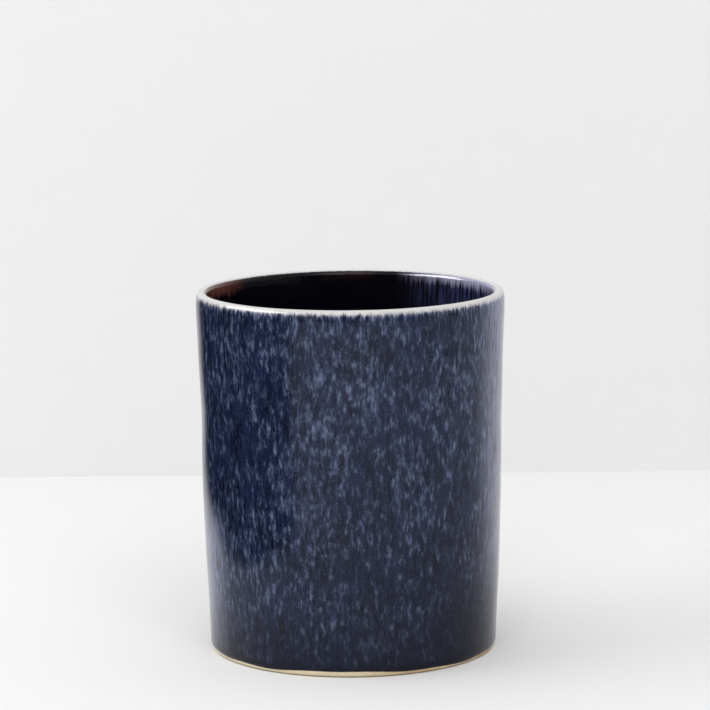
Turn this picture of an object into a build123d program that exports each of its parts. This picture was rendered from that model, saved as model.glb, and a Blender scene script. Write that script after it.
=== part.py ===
"""Stoneware crock for kitchen tools: a thrown clay pot under four coats of glaze."""

import os
from math import cos, pi, sin

from build123d import *

# Outside of the glazed pot, in millimetres, with the origin at the centre of the foot
height = 178.0
rim_diameter = 152.0
waist_diameter = 147.4
waist_height = 110.0
heel_diameter = 140.8
heel_radius = 3.0
lip_radius = 2.4

# Wall and floor through both coats, and the rounded corner where they meet inside
rim_wall = 5.8
waist_wall = 6.4
floor_wall = 7.4
floor_thickness = 7.0
corner_radius = 9.0

# Foot ring and the recess inside it
foot_width = 7.0
foot_height = 2.4
foot_edge_bevel = 0.8

# Coats of glaze
outer_glaze_thickness = 0.5
liner_glaze_thickness = 0.4
underside_glaze_thickness = 0.35
underside_glaze_margin = 1.5

# The lip's pale glaze breaks into the coats beside it in short uneven runs
rim_break_drop = 4.2
rim_run_length = 2.6
rim_run_count = 26

# The outer coat stops above the bare clay of the foot in long shallow lobes
foot_line_height = 2.8
foot_run_length = 1.5
foot_run_count = 12

# A run's half width beside the pitch, where it starts beside the pot's radius there, its usual
# length beside the longest, and how that wanders
run_width_share = 0.72
run_start_share = 0.8
run_length_share = 0.55
run_wander_shares = ((0.25, 2.4), (0.15, 4.1))
overrun = 6.0

rim_radius = rim_diameter / 2
waist_radius = waist_diameter / 2
heel_outside = heel_diameter / 2
widest_radius = max(rim_radius, waist_radius, heel_outside)
foot_radius = heel_outside - outer_glaze_thickness - heel_radius
floor_height = foot_height + floor_thickness


def outer_wall(inset):
    """Draws the outside from the floor line up to the lip, inset from the glaze's surface."""
    heel = (heel_outside - inset, heel_radius)
    waist = (waist_radius - inset, waist_height)
    rim = (rim_radius - inset, height - inset)
    round_radius = heel_radius + outer_glaze_thickness - inset
    Line((0, heel_radius - round_radius), (foot_radius, heel_radius - round_radius))
    RadiusArc((foot_radius, heel_radius - round_radius), heel, -round_radius)
    TangentArc(waist, heel, tangent=(0, -1))
    TangentArc(waist, rim, tangent=(0, 1))
    Line(rim, (0, height - inset))
    Line((0, height - inset), (0, heel_radius - round_radius))


def inner_wall(inset):
    """Draws the hollow from the floor up past the lip, inset from the glaze's surface."""
    floor = (heel_outside - floor_wall + inset, floor_height - inset)
    waist = (waist_radius - waist_wall + inset, waist_height)
    rim = (rim_radius - rim_wall + inset, height)
    top = height + overrun
    Line((0, floor_height - inset), floor)
    TangentArc(waist, floor, tangent=(0, -1))
    TangentArc(waist, rim, tangent=(0, 1))
    Line(rim, (rim[0], top))
    Line((rim[0], top), (0, top))
    Line((0, top), (0, floor_height - inset))


def half_section(outer_inset, inner_inset):
    """Half of the pot's section: wall, lip and floor, with every corner rounded."""
    with BuildSketch() as hollow:
        with BuildLine():
            inner_wall(inner_inset)
        make_face()
        corner = hollow.vertices().group_by(Axis.Y)[0].sort_by(Axis.X)[-1]
        fillet(corner, corner_radius + inner_inset)
    with BuildSketch() as section:
        with BuildLine():
            outer_wall(outer_inset)
        make_face()
        add(hollow.sketch, mode=Mode.SUBTRACT)
        lip_corners = section.vertices().group_by(Axis.Y)[-1]
        fillet(lip_corners, lip_radius - outer_inset)
    return section.sketch


def run_share(step):
    """How long the run at this step is, as a share of the longest."""
    return run_length_share + sum(share * cos(pace * step) for share, pace in run_wander_shares)


def hanging_zone(level, radius, run_length, run_count):
    """All that lies above a level, with uneven runs that hang below it round the pot."""
    half_width = 2 * pi * radius / run_count * run_width_share
    run_start = radius * run_start_share
    with BuildPart() as zone:
        with BuildSketch(Plane.XY.offset(level)):
            Circle(widest_radius + overrun)
        extrude(amount=height - level + overrun)
        for step in range(run_count):
            reach = run_length * run_share(step)
            turn = 2 * pi * (step + run_share(step)) / run_count
            outward = (cos(turn), sin(turn), 0)
            along = (-sin(turn), cos(turn), 0)
            start = (run_start * cos(turn), run_start * sin(turn), level)
            with BuildSketch(Plane(origin=start, x_dir=along, z_dir=outward)):
                with BuildLine():
                    ThreePointArc((-half_width, 0), (0, -reach), (half_width, 0))
                    ThreePointArc((half_width, 0), (0, reach), (-half_width, 0))
                make_face()
            extrude(amount=widest_radius + overrun - run_start)
    return zone.part


rim_zone = hanging_zone(height - rim_break_drop, rim_radius, rim_run_length, rim_run_count)
foot_zone = hanging_zone(foot_line_height, heel_outside, foot_run_length, foot_run_count)

# Thrown and fired pot: wall, lip, floor and the ring that it stands on
with BuildPart() as stoneware_body:
    with BuildSketch(Plane.XZ):
        add(half_section(outer_glaze_thickness, liner_glaze_thickness))
    revolve(axis=Axis.Z)
    with BuildSketch(Plane.XY):
        Circle(foot_radius - foot_width)
    extrude(amount=foot_height, mode=Mode.SUBTRACT)
    ring_edges = stoneware_body.edges().filter_by(GeomType.CIRCLE).group_by(Axis.Z)[0]
    chamfer(ring_edges.sort_by(SortBy.RADIUS)[0], foot_edge_bevel)

# Both coats of the wall and the lip before the glaze lines part them
with BuildPart() as coats:
    with BuildSketch(Plane.XZ):
        add(half_section(0, 0))
        add(half_section(outer_glaze_thickness, liner_glaze_thickness), mode=Mode.SUBTRACT)
    revolve(axis=Axis.Z)

# Solid that fills the pot to the middle of its wall, which parts inside from outside
with BuildPart() as inside_space:
    with BuildSketch(Plane.XZ):
        with BuildLine():
            inner_wall((rim_wall + liner_glaze_thickness) / 2)
        make_face()
    revolve(axis=Axis.Z)

# Blue coat over the outside, from the lip's break down to the line above the foot
with BuildPart() as outer_glaze:
    add(coats.part)
    add(inside_space.part, mode=Mode.SUBTRACT)
    add(rim_zone, mode=Mode.SUBTRACT)
    add(foot_zone, mode=Mode.INTERSECT)

# Pale coat that the heat thins over the lip
with BuildPart() as rim_glaze:
    add(coats.part)
    add(rim_zone, mode=Mode.INTERSECT)

# Dark coat over the hollow's wall and floor
with BuildPart() as liner_glaze:
    add(coats.part)
    add(inside_space.part, mode=Mode.INTERSECT)
    add(rim_zone, mode=Mode.SUBTRACT)

# Thin coat on the recess inside the foot ring
with BuildPart() as underside_glaze:
    with BuildSketch(Plane.XY.offset(foot_height)):
        Circle(foot_radius - foot_width - underside_glaze_margin)
    extrude(amount=-underside_glaze_thickness)

pieces = {
    "stoneware_body": stoneware_body,
    "outer_glaze": outer_glaze,
    "rim_glaze": rim_glaze,
    "liner_glaze": liner_glaze,
    "underside_glaze": underside_glaze,
}
os.makedirs("parts", exist_ok=True)
for name, piece in pieces.items():
    piece.part.label = name
    export_step(piece.part, f"parts/{name}.step")
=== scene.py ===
from math import atan2, cos, pi, sin, sqrt

import bpy
from mathutils import Matrix, Vector


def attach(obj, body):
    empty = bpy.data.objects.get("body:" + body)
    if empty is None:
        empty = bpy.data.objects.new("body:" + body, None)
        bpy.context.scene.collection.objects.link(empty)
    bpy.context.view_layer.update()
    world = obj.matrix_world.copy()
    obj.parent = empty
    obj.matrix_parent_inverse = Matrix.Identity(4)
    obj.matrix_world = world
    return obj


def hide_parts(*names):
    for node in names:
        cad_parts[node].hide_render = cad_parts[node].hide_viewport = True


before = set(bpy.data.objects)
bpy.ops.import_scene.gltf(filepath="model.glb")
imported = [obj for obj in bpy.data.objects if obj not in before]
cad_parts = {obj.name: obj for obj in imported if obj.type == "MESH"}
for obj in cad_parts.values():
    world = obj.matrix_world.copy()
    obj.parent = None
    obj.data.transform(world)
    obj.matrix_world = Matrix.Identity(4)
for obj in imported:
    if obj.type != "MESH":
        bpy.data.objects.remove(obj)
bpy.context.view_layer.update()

# Fired clay pot
# The thrown stoneware wall, floor and foot ring under the glaze, in the CAD solid's place. Only its
# foot ring shows: bare, cream-coloured clay, toasted darker on one side, with painted shade along its
# lower outer edge where it meets the worktop.
pot_height = 0.1779
waist_radius = 0.0737
waist_height = 0.110
rim_flare = 0.00235
flare_bend = 1.3
roll_start = 0.168
roll_depth = 0.0006
lip_round = 0.0024
lip_base = pot_height - lip_round
lip_steps = 14
trim_height = 0.024
trim_radius = 0.0712
trim_bend = 0.6
heel_height = 0.003
heel_radius = 0.0705
heel_round = 0.0035
heel_rings = 8
mouth_radius = 0.0702
waist_wall = 0.0064
floor_wall = 0.0074
floor_height = 0.0094
corner_radius = 0.009
corner_steps = 10
clay_depth = 0.00045
clay_floor_rings = 4
foot_inner = 0.0599
foot_bevel = 0.0008
recess_height = 0.0024
wall_rings = 80
ring_points = 288
centre_hole = 0.0005
merge_gap = 0.000001
thrown_wander = 0.0011
lip_wander = 0.0003
thrown_patch = 0.055
calm_height = 0.150
calm_top = 0.1725
foot_calm = 0.020
coat_thickness = 0.00040
sharp_angle = pi / 4
pattern_middle = 0.5


def new_material(name):
    """A material with its nodes and its shader ready, for one finish of the pot."""
    material = bpy.data.materials.new(name)
    material.use_nodes = True
    return material, material.node_tree, material.node_tree.nodes["Principled BSDF"]


def stretched_noise(tree, size, height, detail=2.0, rough=0.5, shift=0.0):
    """Noise in the pot's own coordinates, about size metres across and height metres tall."""
    coordinates = tree.nodes.new("ShaderNodeTexCoord")
    mapping = tree.nodes.new("ShaderNodeMapping")
    mapping.inputs["Location"].default_value = (shift, shift, shift)
    mapping.inputs["Scale"].default_value = (1 / size, 1 / size, 1 / height)
    noise = tree.nodes.new("ShaderNodeTexNoise")
    noise.inputs["Scale"].default_value = 1
    noise.inputs["Detail"].default_value = detail
    noise.inputs["Roughness"].default_value = rough
    tree.links.new(coordinates.outputs["Object"], mapping.inputs["Vector"])
    tree.links.new(mapping.outputs["Vector"], noise.inputs["Vector"])
    return noise.outputs["Fac"]


def stretch(tree, value, low, high, to_low=0.0, to_high=1.0):
    """Spreads a value from low..high over to_low..to_high and stops at both ends."""
    node = tree.nodes.new("ShaderNodeMapRange")
    node.interpolation_type = "SMOOTHSTEP"
    node.inputs["From Min"].default_value = low
    node.inputs["From Max"].default_value = high
    node.inputs["To Min"].default_value = to_low
    node.inputs["To Max"].default_value = to_high
    tree.links.new(value, node.inputs["Value"])
    return node.outputs["Result"]


def reckon(tree, operation, first, second=0.0):
    """One sum on two values, either of which may be a plain number."""
    node = tree.nodes.new("ShaderNodeMath")
    node.operation = operation
    for socket, value in zip(node.inputs, (first, second)):
        if isinstance(value, (int, float)):
            socket.default_value = value
        else:
            tree.links.new(value, socket)
    return node.outputs["Value"]


def swing(tree, pattern, reach):
    """A pattern's swing to either side of nothing, as far as its reach."""
    return reckon(tree, "MULTIPLY", reckon(tree, "SUBTRACT", pattern, pattern_middle), reach)


def blend_colours(tree, factor, first, second):
    """Goes from the first colour to the second as the factor rises."""
    node = tree.nodes.new("ShaderNodeMix")
    node.data_type = "RGBA"
    node.clamp_factor = True
    tree.links.new(factor, node.inputs["Factor"])
    for socket, colour in ((node.inputs["A"], first), (node.inputs["B"], second)):
        if isinstance(colour, tuple):
            socket.default_value = colour
        else:
            tree.links.new(colour, socket)
    return node.outputs["Result"]


def tint(tree, colour, value, span, tone):
    """Turns a colour to a tone as a value crosses its span."""
    return blend_colours(tree, stretch(tree, value, *span), colour, tone)


def tint_where(tree, colour, first, first_span, second, second_span, tone):
    """Turns a colour to a tone where two values both cross their spans."""
    both = reckon(tree, "MULTIPLY", stretch(tree, first, *first_span), stretch(tree, second, *second_span))
    return blend_colours(tree, both, colour, tone)


def place_values(tree):
    """Where a point lies on the pot: its X and Y, its height and its distance from the axis."""
    coordinates = tree.nodes.new("ShaderNodeTexCoord")
    split = tree.nodes.new("ShaderNodeSeparateXYZ")
    tree.links.new(coordinates.outputs["Object"], split.inputs["Vector"])
    x, y, z = split.outputs["X"], split.outputs["Y"], split.outputs["Z"]
    square = reckon(tree, "ADD", reckon(tree, "MULTIPLY", x, x), reckon(tree, "MULTIPLY", y, y))
    return x, y, z, reckon(tree, "SQRT", square)


def relief(tree, shader, height, strength, depth):
    """Raises the surface by a pattern, depth metres at most."""
    bump = tree.nodes.new("ShaderNodeBump")
    bump.inputs["Strength"].default_value = strength
    bump.inputs["Distance"].default_value = depth
    tree.links.new(height, bump.inputs["Height"])
    tree.links.new(bump.outputs["Normal"], shader.inputs["Normal"])


def outside_radius(height):
    """The glazed wall's radius: round heel, trimmed foot, waist, flare and the roll under the lip."""
    if height > waist_height:
        rise = (height - waist_height) / (pot_height - waist_height)
        roll = max(0, height - roll_start) / (lip_base - roll_start)
        return waist_radius + rim_flare * rise ** flare_bend - roll_depth * roll ** 2
    if height > trim_height:
        fall = (waist_height - height) / (waist_height - trim_height)
        return waist_radius - (waist_radius - trim_radius) * fall ** 2
    if height > heel_height:
        rise = (height - heel_height) / (trim_height - heel_height)
        return heel_radius + (trim_radius - heel_radius) * rise ** trim_bend
    return heel_radius - heel_round + sqrt(heel_round ** 2 - (heel_height - height) ** 2)


def inside_radius(height):
    """The lined hollow's radius, from the rounded corner at the floor up to the lip."""
    waist = waist_radius - waist_wall
    if height > waist_height:
        rise = (height - waist_height) / (pot_height - waist_height)
        return waist + (mouth_radius - waist) * rise ** 2
    fall = (waist_height - height) / (waist_height - floor_height)
    return waist - (waist - heel_radius + floor_wall) * fall ** 2


def wall_points(radius_at, bottom, top, rings, depth=0.0):
    """Points up one side of the wall, depth metres in from the glaze's surface."""
    heights = [bottom + (top - bottom) * step / rings for step in range(rings + 1)]
    return [(radius_at(height) + depth, height) for height in heights]


def lip_points(depth=0.0):
    """Points over the rounded lip, from outside to inside."""
    middle = (outside_radius(lip_base) + inside_radius(lip_base)) / 2
    half = (outside_radius(lip_base) - inside_radius(lip_base)) / 2 - depth
    turns = [pi * step / lip_steps for step in range(1, lip_steps)]
    return [(middle + half * cos(turn), lip_base + (lip_round - depth) * sin(turn)) for turn in turns]


def floor_points(rings, depth=0.0):
    """Points round the corner at the bottom of the hollow and in along its floor."""
    middle = inside_radius(floor_height + corner_radius) - corner_radius
    curve = corner_radius + depth
    corner_height = floor_height + corner_radius
    turns = [pi / 2 * step / corner_steps for step in range(1, corner_steps + 1)]
    corner = [(middle + curve * cos(turn), corner_height - curve * sin(turn)) for turn in turns]
    return corner + [(middle * (1 - step / rings), floor_height - depth) for step in range(1, rings)]


def lathe(name, profile):
    """Draws a form up ring by ring, as a pot is thrown, from a list of (radius, height)."""
    start_radius, start_height = profile[0]
    bpy.ops.object.select_all(action="DESELECT")
    bpy.ops.mesh.primitive_circle_add(
        vertices=ring_points, radius=start_radius, location=(0, 0, start_height)
    )
    form = bpy.context.object
    form.name = name
    form.data.name = name
    bpy.ops.object.mode_set(mode="EDIT")
    bpy.ops.mesh.select_all(action="SELECT")
    for (last_radius, last_height), (next_radius, next_height) in zip(profile, profile[1:]):
        bpy.ops.mesh.extrude_edges_move(
            TRANSFORM_OT_translate={"value": (0, 0, next_height - last_height)}
        )
        grow = next_radius / last_radius
        bpy.ops.transform.resize(value=(grow, grow, 1), center_override=(0, 0, 0))
    bpy.ops.object.mode_set(mode="OBJECT")
    bpy.ops.object.transform_apply(location=True, rotation=True, scale=True)
    return form


def close_floor():
    """Closes the hole left in the ring drawn last, with its faces meeting in a point."""
    bpy.ops.object.mode_set(mode="EDIT")
    bpy.ops.mesh.edge_face_add()
    bpy.ops.mesh.poke()
    bpy.ops.object.mode_set(mode="OBJECT")


def apply(form, modifier):
    """Applies one modifier to one form."""
    bpy.ops.object.select_all(action="DESELECT")
    form.select_set(True)
    bpy.context.view_layer.objects.active = form
    bpy.ops.object.modifier_apply(modifier=modifier.name)


def settle(form, turn_faces=False):
    """Gives a form the unevenness of a hand-thrown wall, slight at the lip and none at the foot."""
    bpy.ops.object.select_all(action="DESELECT")
    form.select_set(True)
    bpy.context.view_layer.objects.active = form
    bpy.ops.object.mode_set(mode="EDIT")
    bpy.ops.mesh.select_all(action="SELECT")
    bpy.ops.mesh.remove_doubles(threshold=merge_gap)
    bpy.ops.mesh.normals_make_consistent(inside=False)
    if turn_faces:
        bpy.ops.mesh.flip_normals()
    bpy.ops.object.mode_set(mode="OBJECT")
    sway = form.vertex_groups.new(name="sway")
    for vertex in form.data.vertices:
        calm = min(1, max(0, vertex.co.z - calm_height) / (calm_top - calm_height))
        rise = min(1, max(0, vertex.co.z - heel_height) / foot_calm)
        sway.add([vertex.index], rise * (1 - calm * (1 - lip_wander / thrown_wander)), "REPLACE")
    uneven = form.modifiers.new("uneven", "DISPLACE")
    uneven.texture = thrown_texture
    uneven.texture_coords = "LOCAL"
    uneven.vertex_group = sway.name
    uneven.strength = thrown_wander
    uneven.mid_level = pattern_middle
    apply(form, uneven)
    form.vertex_groups.clear()
    bpy.ops.object.shade_smooth_by_angle(angle=sharp_angle)


def thicken(coat):
    """Gives a coat of glaze its thickness, down towards the clay."""
    skin = coat.modifiers.new("skin", "SOLIDIFY")
    skin.thickness = coat_thickness
    skin.offset = -1
    apply(coat, skin)
    bpy.ops.object.shade_smooth_by_angle(angle=sharp_angle)


thrown_texture = bpy.data.textures.new("thrown_wander", "CLOUDS")
thrown_texture.noise_scale = thrown_patch
thrown_texture.noise_depth = 1

clay_profile = [(centre_hole, recess_height), (foot_inner, recess_height), (foot_inner, foot_bevel)]
clay_profile.append((foot_inner + foot_bevel, 0))
clay_profile += wall_points(outside_radius, 0, heel_height, heel_rings, -clay_depth)
clay_profile += wall_points(outside_radius, heel_height, lip_base, wall_rings, -clay_depth)[1:]
clay_profile += lip_points(clay_depth)
clay_profile += wall_points(inside_radius, lip_base, floor_height + corner_radius, wall_rings, clay_depth)
clay_profile += floor_points(clay_floor_rings, clay_depth)
clay_profile.append((centre_hole, floor_height - clay_depth))
clay_pot = lathe("clay_pot", clay_profile)
bpy.ops.object.mode_set(mode="EDIT")
bpy.ops.mesh.select_all(action="SELECT")
bpy.ops.mesh.fill_holes(sides=0)
bpy.ops.mesh.poke()
bpy.ops.object.mode_set(mode="OBJECT")
settle(clay_pot)

# The clay's tones. A pattern gives its size across and up in metres, its detail, roughness and shift.
# A span gives the two values it runs between and, where it isn't 0 and 1, what it gives at them.
clay_cream = (0.60, 0.51, 0.33, 1)
clay_pale = (0.74, 0.66, 0.47, 1)
clay_toasted = (0.50, 0.30, 0.15, 1)
# Painted shade: the dark tone of the foot's lower outer edge, where it meets the worktop.
clay_contact_shade = (0.10, 0.08, 0.055, 1)
grit_pattern = (0.0006, 0.0006, 3.0, 0.7)
toasting_pattern = (0.012, 0.004, 3.0, 0.6)
grit_span = (0.35, 0.7)
toasting_span = (0.30, 0.62)
toasted_side = (-0.005, 0.05, 0.10, 0.95)
# The height and the radius where the painted contact shade lies.
contact_shade_height = (0.0002, 0.0010, 0.8, 0.0)
contact_shade_edge = (0.0676, 0.0686)
clay_roughness = 0.82
clay_relief = (0.35, 0.0003)

bare_clay, tree, shader = new_material("bare_clay")
x, _, z, radius = place_values(tree)
toasting = stretched_noise(tree, *toasting_pattern)
grit = stretched_noise(tree, *grit_pattern)
colour = tint(tree, clay_cream, grit, grit_span, clay_pale)
colour = tint_where(tree, colour, x, toasted_side, toasting, toasting_span, clay_toasted)
# Painted shade darkens the foot's lower outer edge next to the worktop.
colour = tint_where(tree, colour, z, contact_shade_height, radius, contact_shade_edge, clay_contact_shade)
tree.links.new(colour, shader.inputs["Base Color"])
shader.inputs["Roughness"].default_value = clay_roughness
relief(tree, shader, grit, *clay_relief)
clay_pot.data.materials.append(bare_clay)
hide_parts("stoneware_body")
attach(clay_pot, "root")

# Blue outer coat
# Reactive glaze over the outside: navy where it lies thick, breaking into pale vertical flecks and
# streaks where it ran in the kiln. It ends in a thick dark bead just above the bare clay of the foot,
# dark as pooled glaze and as painted shade. Its colour also holds painted shade low down and on the
# lower right, and a painted reflection, pale lavender, at the sides.
coat_bottom = 0.0014
coat_top = 0.1725
coat_rings = 84
ring_crowding = 1.25
bead_swell = 0.00022
bead_height = 0.0022
bead_reach = 3
bead_onset = 2
foot_lift = 0.0017
foot_fade = 0.012
lobe_turn = -1.75
lobe_level = 0.36
lobe_rise = 0.7
lobe_sharpness = 16
foot_waves = ((0.14, 5, 0.8), (0.10, 13, 0.0))

outer_profile = []
for step in range(coat_rings + 1):
    height = coat_bottom + (coat_top - coat_bottom) * (step / coat_rings) ** ring_crowding
    above = (height - coat_bottom) / bead_height
    swell = bead_swell * max(0, 1 - above / bead_reach) * min(1, above * bead_onset)
    outer_profile.append((outside_radius(height) + swell, height))
outer_coat = lathe("outer_coat", outer_profile)
settle(outer_coat)
edge_lift = outer_coat.vertex_groups.new(name="edge_lift")
for vertex in outer_coat.data.vertices:
    turn = atan2(vertex.co.y, vertex.co.x)
    lobe = lobe_level + lobe_rise * max(0, cos(turn - lobe_turn)) ** lobe_sharpness
    lobe += sum(size * cos(count * turn + shift) for size, count, shift in foot_waves)
    fade = max(0, 1 - max(0, vertex.co.z - coat_bottom) / foot_fade) ** 2
    edge_lift.add([vertex.index], max(0, lobe) * fade, "REPLACE")
uneven_foot = outer_coat.modifiers.new("uneven_foot", "DISPLACE")
uneven_foot.direction = "Z"
uneven_foot.vertex_group = edge_lift.name
uneven_foot.mid_level = 0
uneven_foot.strength = foot_lift
apply(outer_coat, uneven_foot)
outer_coat.vertex_groups.clear()
thicken(outer_coat)

# The glaze's tones, from where it lies thick to where it is thin; the ink also serves as painted shade and
# the lavender is a painted reflection
glaze_navy = (0.0045, 0.0085, 0.032, 1)
# The glaze's own tone where it lies deepest, and also the tone of the painted shade.
glaze_ink_and_shade = (0.0015, 0.0025, 0.010, 1)
glaze_blue = (0.0142, 0.0210, 0.054, 1)
glaze_pale = (0.132, 0.165, 0.268, 1)
glaze_frost = (0.210, 0.250, 0.370, 1)
# Painted reflection: the pale lavender that the grazing sides show in place of the bright room.
edge_reflection_lavender = (0.30, 0.32, 0.46, 1)
lip_white = (0.62, 0.605, 0.60, 1)

# Its patterns, from the broad clusters to the finest grain
cluster_pattern = (0.022, 0.034, 3.0, 0.6, 3.1)
depth_pattern = (0.012, 0.030, 3.0, 0.6, 9.4)
patch_pattern = (0.0025, 0.0065, 3.0, 0.62, 7.7)
fleck_pattern = (0.0013, 0.0036, 2.0, 0.5, 2.9)
sliver_pattern = (0.0009, 0.0120, 2.0, 0.6, 1.9)
dot_pattern = (0.0007, 0.0011, 1.0, 0.5, 8.8)
grain_pattern = (0.0005, 0.0009, 2.0, 0.7, 5.3)
flow_pattern = (0.0011, 0.012, 3.0, 0.5, 2.2)
cluster_reach = 0.45
drip_reach = 0.0030
fine_drip_reach = 0.0022

# Where each pattern lets the next tone through
ink_depth = (0.30, 0.70)
blue_slivers = (0.40, 0.72, 0.0, 0.65)
blue_thinness = (0.36, 0.68, 0.0, 0.85)
pale_thinness = (0.44, 0.71)
pale_flecks = (0.34, 0.76, 0.0, 0.86)
pale_dots = (0.66, 0.80, 0.0, 0.3)
pale_grain = (0.54, 0.80, 0.0, 0.28)
# The streaks through which the sides' painted reflection shows.
reflection_slivers = (0.34, 0.62, 0.25, 1.0)
frost_slivers = (0.40, 0.68, 0.05, 0.8)

# Where on the pot the glaze is thinner, where its sides take a painted reflection, and where it is darker
# low down and on the lower right as painted shade and at the bead, in metres
thinner_top = (0.09, 0.165, -0.010, 0.014)
# Painted reflection at the left side, low down, and at the right side.
left_reflection_edge = (-0.058, -0.0745, 0.0, 0.8)
left_reflection_height = (0.080, 0.060)
right_reflection_edge = (0.058, 0.0745, 0.0, 0.7)
frost_height = (0.1732, 0.1764)
white_height = (0.1748, 0.1772)
# Painted shade, darker towards the bottom near the worktop.
base_shade = (0.004, 0.040, 0.65, 0.0)
# Painted shade on the lower right, the side away from the window.
right_shade_side = (-0.01, 0.06)
right_shade_height = (0.085, 0.010, 0.0, 0.7)
# Darker at the bead, partly as glaze pooled thick there and partly as painted shade where the wall turns
# under.
bead_pool_and_shade = (0.0035, 0.0075, 0.8, 0.0)

gloss_index = 1.30
gloss_roughness = 0.12
gloss_relief = (1.0, 0.00012)


def outside_colour(tree):
    """The blue glaze's colour: flecks and streaks on navy, pale under the lip, a painted reflection at the
    sides, painted shade low down and on the lower right, and a dark bead above the foot.
    """
    x, _, z, _ = place_values(tree)
    patches = stretched_noise(tree, *patch_pattern)
    slivers = stretched_noise(tree, *sliver_pattern)
    clouded = swing(tree, stretched_noise(tree, *cluster_pattern), cluster_reach)
    thin = reckon(tree, "ADD", reckon(tree, "ADD", clouded, patches), stretch(tree, z, *thinner_top))
    colour = tint(tree, glaze_navy, stretched_noise(tree, *depth_pattern), ink_depth, glaze_ink_and_shade)
    colour = tint(tree, colour, slivers, blue_slivers, glaze_blue)
    colour = tint(tree, colour, thin, blue_thinness, glaze_blue)
    flecks = stretched_noise(tree, *fleck_pattern)
    colour = tint_where(tree, colour, thin, pale_thinness, flecks, pale_flecks, glaze_pale)
    colour = tint(tree, colour, stretched_noise(tree, *dot_pattern), pale_dots, glaze_pale)
    colour = tint(tree, colour, stretched_noise(tree, *grain_pattern), pale_grain, glaze_pale)
    # Painted reflection, pale lavender and streaky, at the left side low down and at the right side.
    low_left = stretch(tree, z, *left_reflection_height)
    left = reckon(tree, "MULTIPLY", stretch(tree, x, *left_reflection_edge), low_left)
    sides = reckon(tree, "ADD", left, stretch(tree, x, *right_reflection_edge))
    streaked_reflection = reckon(tree, "MULTIPLY", sides, stretch(tree, slivers, *reflection_slivers))
    colour = blend_colours(tree, streaked_reflection, colour, edge_reflection_lavender)
    drips = reckon(tree, "ADD", swing(tree, patches, drip_reach), swing(tree, slivers, fine_drip_reach))
    broken = reckon(tree, "ADD", z, drips)
    colour = tint_where(tree, colour, slivers, frost_slivers, broken, frost_height, glaze_frost)
    colour = tint(tree, colour, broken, white_height, lip_white)
    # Painted shade, darker towards the bottom.
    colour = tint(tree, colour, z, base_shade, glaze_ink_and_shade)
    # Painted shade darkens the lower right side, away from the window.
    colour = tint_where(tree, colour, x, right_shade_side, z, right_shade_height, glaze_ink_and_shade)
    # Darker at the bead: pooled glaze and painted shade.
    return tint(tree, colour, z, bead_pool_and_shade, glaze_ink_and_shade)


def gloss(tree, shader, colour, pattern):
    """Fired glaze: its colour under a clear, slightly uneven surface."""
    tree.links.new(colour, shader.inputs["Base Color"])
    shader.inputs["Roughness"].default_value = gloss_roughness
    shader.inputs["IOR"].default_value = gloss_index
    relief(tree, shader, pattern, *gloss_relief)


outer_coat_glaze, tree, shader = new_material("outer_coat_glaze")
gloss(tree, shader, outside_colour(tree), stretched_noise(tree, *flow_pattern))
outer_coat.data.materials.append(outer_coat_glaze)
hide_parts("outer_glaze")
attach(outer_coat, "root")

# Pale coat over the lip
# The same glaze thins over the rounded lip in the fire and turns off-white. It breaks tan and brown
# along the inner edge, and short pale runs hang from it into the blue outside.
rim_rings = 6
inside_black = (0.0015, 0.0015, 0.0035, 1)
# The violet of the glaze's streaks, shown only on the right side as partly painted light.
inside_violet = (0.036, 0.040, 0.115, 1)
# Painted reflection: the pale lavender blur of the window's panes under the lip, on the right inside.
inside_lavender_reflection = (0.38, 0.38, 0.54, 1)
inside_russet = (0.125, 0.043, 0.038, 1)
edge_tan = (0.42, 0.27, 0.19, 1)
edge_brown = (0.070, 0.026, 0.022, 1)
streak_pattern = (0.0014, 0.030, 2.0, 0.6, 6.1)
brown_pattern = (0.045, 0.045, 1.0, 0.5, 2.7)
speckle_pattern = (0.0012, 0.0012, 3.0, 0.6, 4.4)
hang_reach = 0.012
edge_reach = 0.0012
violet_streaks = (0.34, 0.66)
violet_height = (0.135, 0.175)
# The lit right side inside, where the violet streaks show as partly painted light.
violet_lit_side = (0.022, 0.056)
# The height of the painted lavender reflection under the lip.
lavender_reflection_height = (0.1715, 0.1765, 0.0, 0.9)
brown_height = (0.1710, 0.1755)
brown_patches = (0.5, 0.66, 0.0, 0.5)
russet_height = (0.1705, 0.1745)
russet_side = (-0.050, -0.066)
tan_edge = (0.0722, 0.0714)
tan_front = (0.01, -0.03, 0.0, 0.9)
dark_edge = (0.0714, 0.0709)


def inside_colour(tree):
    """The dark glaze's colour: near-black, streaked violet under the lip, with brown patches there; the
    violet is partly painted light on the right side, where a painted lavender reflection also lies under
    the lip.
    """
    x, _, z, _ = place_values(tree)
    streaks = stretched_noise(tree, *streak_pattern)
    patches = stretched_noise(tree, *brown_pattern)
    under_lip = reckon(tree, "ADD", z, swing(tree, streaks, hang_reach))
    # Painted light: the right inner wall, which faces the window, shows the violet streaks and the
    # lavender reflection.
    lit_right_side = stretch(tree, x, *violet_lit_side)
    shown = reckon(tree, "MULTIPLY", stretch(tree, z, *violet_height), lit_right_side)
    violet = reckon(tree, "MULTIPLY", stretch(tree, streaks, *violet_streaks), shown)
    colour = blend_colours(tree, violet, inside_black, inside_violet)
    # Painted reflection, pale lavender, under the lip on the right side.
    lavender_reflection = reckon(tree, "MULTIPLY", stretch(tree, under_lip, *lavender_reflection_height), lit_right_side)
    colour = blend_colours(tree, lavender_reflection, colour, inside_lavender_reflection)
    colour = tint_where(tree, colour, under_lip, brown_height, patches, brown_patches, edge_brown)
    return tint_where(tree, colour, under_lip, russet_height, x, russet_side, inside_russet)


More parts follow.
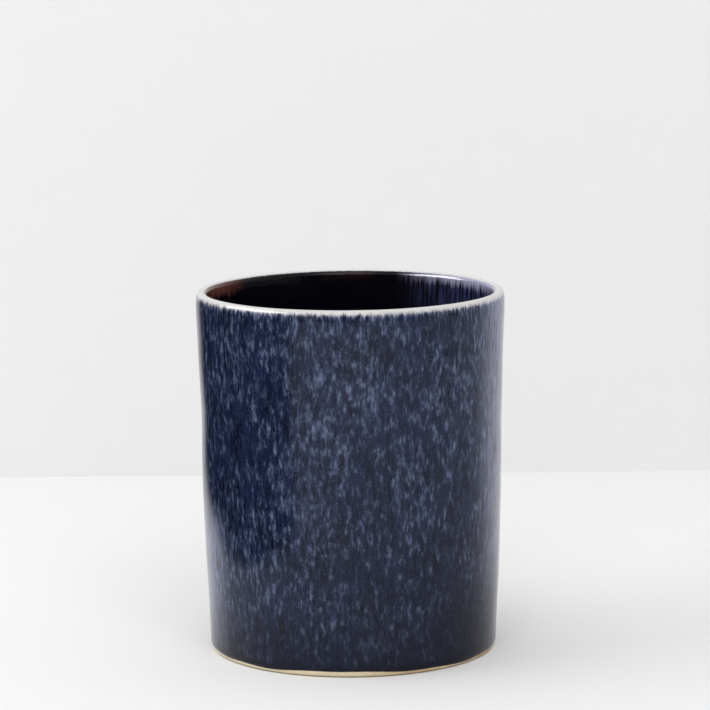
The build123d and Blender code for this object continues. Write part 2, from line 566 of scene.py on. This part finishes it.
rim_profile = wall_points(outside_radius, coat_top, lip_base, rim_rings)
rim_profile += lip_points()
rim_profile += wall_points(inside_radius, lip_base, coat_top, rim_rings)
rim_coat = lathe("rim_coat", rim_profile)
settle(rim_coat)
thicken(rim_coat)

rim_coat_glaze, tree, shader = new_material("rim_coat_glaze")
_, y, _, radius = place_values(tree)
speckle = stretched_noise(tree, *speckle_pattern)
inward = reckon(tree, "ADD", radius, swing(tree, speckle, edge_reach))
colour = tint_where(tree, outside_colour(tree), inward, tan_edge, y, tan_front, edge_tan)
colour = tint(tree, colour, inward, dark_edge, inside_colour(tree))
gloss(tree, shader, colour, speckle)
rim_coat.data.materials.append(rim_coat_glaze)
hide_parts("rim_glaze")
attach(rim_coat, "root")

# Dark coat inside
# A near-black navy glaze, poured in and out again, lines the wall, the rounded corner and the floor.
# Just below the lip it is thin, with violet streaks and brown patches. The violet is partly painted light,
# kept to the right side that faces the window, and a pale lavender band under the lip there is a painted
# reflection of the window's panes.
liner_rings = 60
floor_rings = 12
liner_pattern = (0.004, 0.02, 2.0, 0.5, 2.2)
liner_profile = wall_points(inside_radius, coat_top, floor_height + corner_radius, liner_rings)
liner_profile += floor_points(floor_rings)
liner_coat = lathe("liner_coat", liner_profile)
close_floor()
settle(liner_coat, turn_faces=True)
thicken(liner_coat)

liner_coat_glaze, tree, shader = new_material("liner_coat_glaze")
gloss(tree, shader, inside_colour(tree), stretched_noise(tree, *liner_pattern))
liner_coat.data.materials.append(liner_coat_glaze)
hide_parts("liner_glaze")
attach(liner_coat, "root")

# Underside glaze
# A thin dark coat left in the recess when the foot ring was wiped bare for the kiln shelf.
mottle_pattern = (0.006, 0.006, 3.0, 0.6, 8.2)
mottle_span = (0.35, 0.7)
underside_finish, tree, shader = new_material("underside_coat_glaze")
mottle = stretched_noise(tree, *mottle_pattern)
gloss(tree, shader, tint(tree, glaze_navy, mottle, mottle_span, glaze_blue), mottle)
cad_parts["underside_glaze"].data.materials.clear()
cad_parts["underside_glaze"].data.materials.append(underside_finish)

# Worktop and wall
# A plain pale worktop with a pale wall close behind it, both matte. A camera behind the wall or under
# the worktop looks through it, so that the pot can be seen from every side.
wall_distance = 0.443
worktop_reach = 3.0
worktop_white = (0.87, 0.87, 0.87, 1)
wall_white = (0.79, 0.79, 0.795, 1)
sheet_roughness = 0.9
sheet_shine = 0.1
level = (0, 0, 0)
upright = (pi / 2, 0, 0)


def stage_sheet(name, middle, size, turn, colour):
    """A flat sheet of the set, given by its middle, size, turn and colour."""
    bpy.ops.object.select_all(action="DESELECT")
    bpy.ops.mesh.primitive_plane_add(size=1, location=middle, rotation=turn)
    sheet = bpy.context.object
    sheet.name = name
    sheet.scale = (*size, 1)
    bpy.ops.object.transform_apply(location=True, rotation=True, scale=True)
    finish, tree, shader = new_material(name + "_finish")
    shader.inputs["Base Color"].default_value = colour
    shader.inputs["Roughness"].default_value = sheet_roughness
    shader.inputs["Specular IOR Level"].default_value = sheet_shine
    side = tree.nodes.new("ShaderNodeNewGeometry").outputs["Backfacing"]
    seen = tree.nodes.new("ShaderNodeLightPath").outputs["Is Camera Ray"]
    clear = tree.nodes.new("ShaderNodeBsdfTransparent")
    one_sided = tree.nodes.new("ShaderNodeMixShader")
    tree.links.new(reckon(tree, "MULTIPLY", side, seen), one_sided.inputs["Fac"])
    tree.links.new(shader.outputs["BSDF"], one_sided.inputs[1])
    tree.links.new(clear.outputs["BSDF"], one_sided.inputs[2])
    tree.links.new(one_sided.outputs["Shader"], tree.nodes["Material Output"].inputs["Surface"])
    sheet.data.materials.append(finish)
    return sheet


worktop_middle = (0, (wall_distance - worktop_reach) / 2, 0)
worktop_size = (2 * worktop_reach, worktop_reach + wall_distance)
stage_sheet("worktop", worktop_middle, worktop_size, level, worktop_white)
wall_middle = (0, wall_distance, worktop_reach / 2)
wall_size = (2 * worktop_reach, worktop_reach)
stage_sheet("wall", wall_middle, wall_size, upright, wall_white)

# Black card
# Stands at the pot's left, a little turned, and is seen only in its gloss, as a studio's flag that
# keeps that side dark.
card_front = Vector((-0.219, -0.250))
card_back = Vector((-0.295, 0.443))
card_height = 0.27
card_black = (0, 0, 0, 1)
card_middle = (*(card_front + card_back) / 2, card_height / 2)
card_size = (card_height, (card_back - card_front).length)
card_turn = atan2(card_front.x - card_back.x, card_back.y - card_front.y)
card = stage_sheet("card", card_middle, card_size, (0, pi / 2, card_turn), card_black)

# Dark room
# The unlit room in front of the pot, seen only in its gloss, as a dark line under the lip.
room_distance = 1.9
room_width = 4.0
room_height = 0.8
room_dark = (0.01, 0.01, 0.01, 1)
room_middle = (0, -room_distance, room_height / 2)
room = stage_sheet("room", room_middle, (room_width, room_height), upright, room_dark)

# Bright panes
# The window's panes high on the left, seen only in the gloss, as light on the lip's inner rounding.
panes_place = -1.1
panes_front = -0.75
panes_back = 0.40
panes_bottom = 0.42
panes_top = 1.30
panes_white = (1, 1, 1, 1)
panes_glow = 45
panes_middle = (panes_place, (panes_front + panes_back) / 2, (panes_bottom + panes_top) / 2)
panes_size = (panes_top - panes_bottom, panes_back - panes_front)
panes = stage_sheet("panes", panes_middle, panes_size, (0, pi / 2, 0), panes_white)
pane_shader = panes.data.materials[0].node_tree.nodes["Principled BSDF"]
pane_shader.inputs["Emission Color"].default_value = panes_white
pane_shader.inputs["Emission Strength"].default_value = panes_glow
for glossy_only in (card, room, panes):
    glossy_only.visible_camera = False
    glossy_only.visible_diffuse = False
    glossy_only.visible_shadow = False
    glossy_only.visible_transmission = False

# Window and daylight
# A wide window on the left, a broad soft light in front, and an even pale sky all round.
window_place = Vector((-1.7, -0.35, 1.15))
window_width = 1.4
window_height = 0.35
window_watts = 8
front_place = Vector((0.2, -1.9, 1.6))
front_size = 1.8
front_watts = 22
sky_white = (1, 1, 1, 1)
sky_strength = 0.725
bpy.ops.object.light_add(type="AREA", location=window_place)
window = bpy.context.object
window.data.shape = "RECTANGLE"
window.data.size = window_width
window.data.size_y = window_height
window.data.energy = window_watts
window.rotation_euler = (-window_place).to_track_quat("-Z", "Y").to_euler()
bpy.ops.object.light_add(type="AREA", location=front_place)
front_light = bpy.context.object
front_light.data.size = front_size
front_light.data.energy = front_watts
front_light.rotation_euler = (-front_place).to_track_quat("-Z", "Y").to_euler()

sky = bpy.data.worlds.new("sky")
sky.use_nodes = True
sky.node_tree.nodes["Background"].inputs["Color"].default_value = sky_white
sky.node_tree.nodes["Background"].inputs["Strength"].default_value = sky_strength
bpy.context.scene.world = sky

# Camera
# A long lens on a stand, a little above the pot and looking slightly down at it.
camera_distance = 1.672
camera_height = 0.4094
camera_pitch = 0.1567
camera_roll = -0.0097
focal_pixels = 3447
picture_pixels = 710
pot_column = 350.7
sensor = 36
bpy.ops.object.camera_add()
camera = bpy.context.object
camera.data.sensor_width = sensor
camera.data.lens = focal_pixels / picture_pixels * sensor
sideways = (picture_pixels / 2 - pot_column) * camera_distance / focal_pixels
camera.location = (sideways, -camera_distance, camera_height)
look = Matrix.Rotation(pi / 2 - camera_pitch, 3, "X") @ Matrix.Rotation(camera_roll, 3, "Z")
camera.rotation_euler = look.to_euler()
bpy.context.scene.camera = camera
bpy.context.scene.view_settings.view_transform = "Standard"
